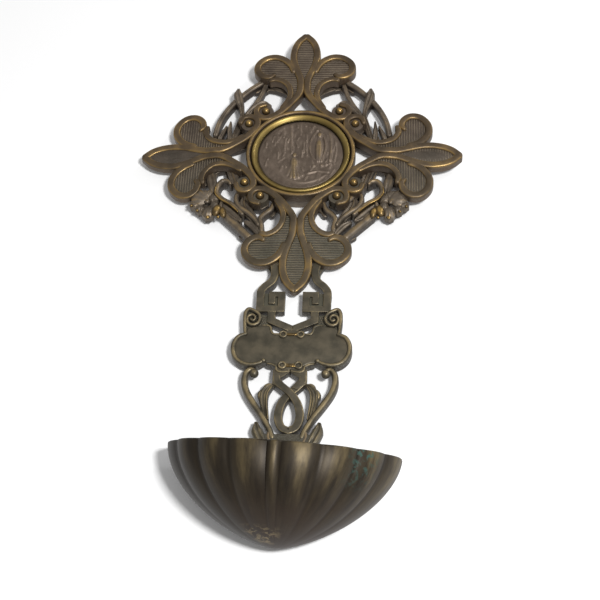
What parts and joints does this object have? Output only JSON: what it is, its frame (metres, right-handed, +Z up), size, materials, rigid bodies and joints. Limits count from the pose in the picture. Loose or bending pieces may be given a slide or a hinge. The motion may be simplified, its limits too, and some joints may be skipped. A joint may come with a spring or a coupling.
{
  "type": "holy water font",
  "caption": "Small wall-hung holy water font: a cross of fleurs-de-lis with a relief medallion over openwork foliage, a strapwork stem and a scallop shell basin.",
  "frame": {"origin": "centre of the flat back face behind the medallion, in the plane of the wall", "axes": "+Z up as the font hangs, +Y into the wall, so the front faces -Y; +X to the right seen from the front"},
  "size_m": [0.1336, 0.044, 0.24],
  "materials": {
    "openwork_plate": "cast brass with a dark grey-brown patina",
    "cross_front": "cast brass, brown patina rubbed golden on the raised borders",
    "medallion_plaque": "struck brass with a brown patina",
    "bezel_ring": "turned yellow brass, lightly patinated",
    "volute_rivets": "brass, worn bright on the domed heads",
    "shell_basin": "cast brass with an olive-brown patina and a little verdigris",
    "basin_screw": "turned brass",
    "basin_nut": "dull brass",
    "hanger_staple": "dull brass strip",
    "hanger_ring": "drawn brass wire, dull"
  },
  "bodies": {
    "font": {"openwork_plate": "openwork_plate", "cross_front": "cross_front", "medallion_plaque": "medallion_plaque", "bezel_ring": "bezel_ring", "volute_rivet_1": "volute_rivets", "volute_rivet_2": "volute_rivets", "volute_rivet_3": "volute_rivets", "volute_rivet_4": "volute_rivets", "volute_rivet_5": "volute_rivets", "volute_rivet_6": "volute_rivets", "volute_rivet_7": "volute_rivets", "volute_rivet_8": "volute_rivets", "shell_basin": "shell_basin", "basin_screw": "basin_screw", "basin_nut": "basin_nut", "hanger_staple": "hanger_staple"},
    "ring": {"hanger_ring": "hanger_ring"}
  },
  "joints": [
    {"name": "ring_hinge", "type": "hinge", "parent": "font", "child": "ring", "pos_m": [0, -0.00175, 0.05], "axis": [1, 0, 0], "range_deg": [0, 175]}
  ]
}
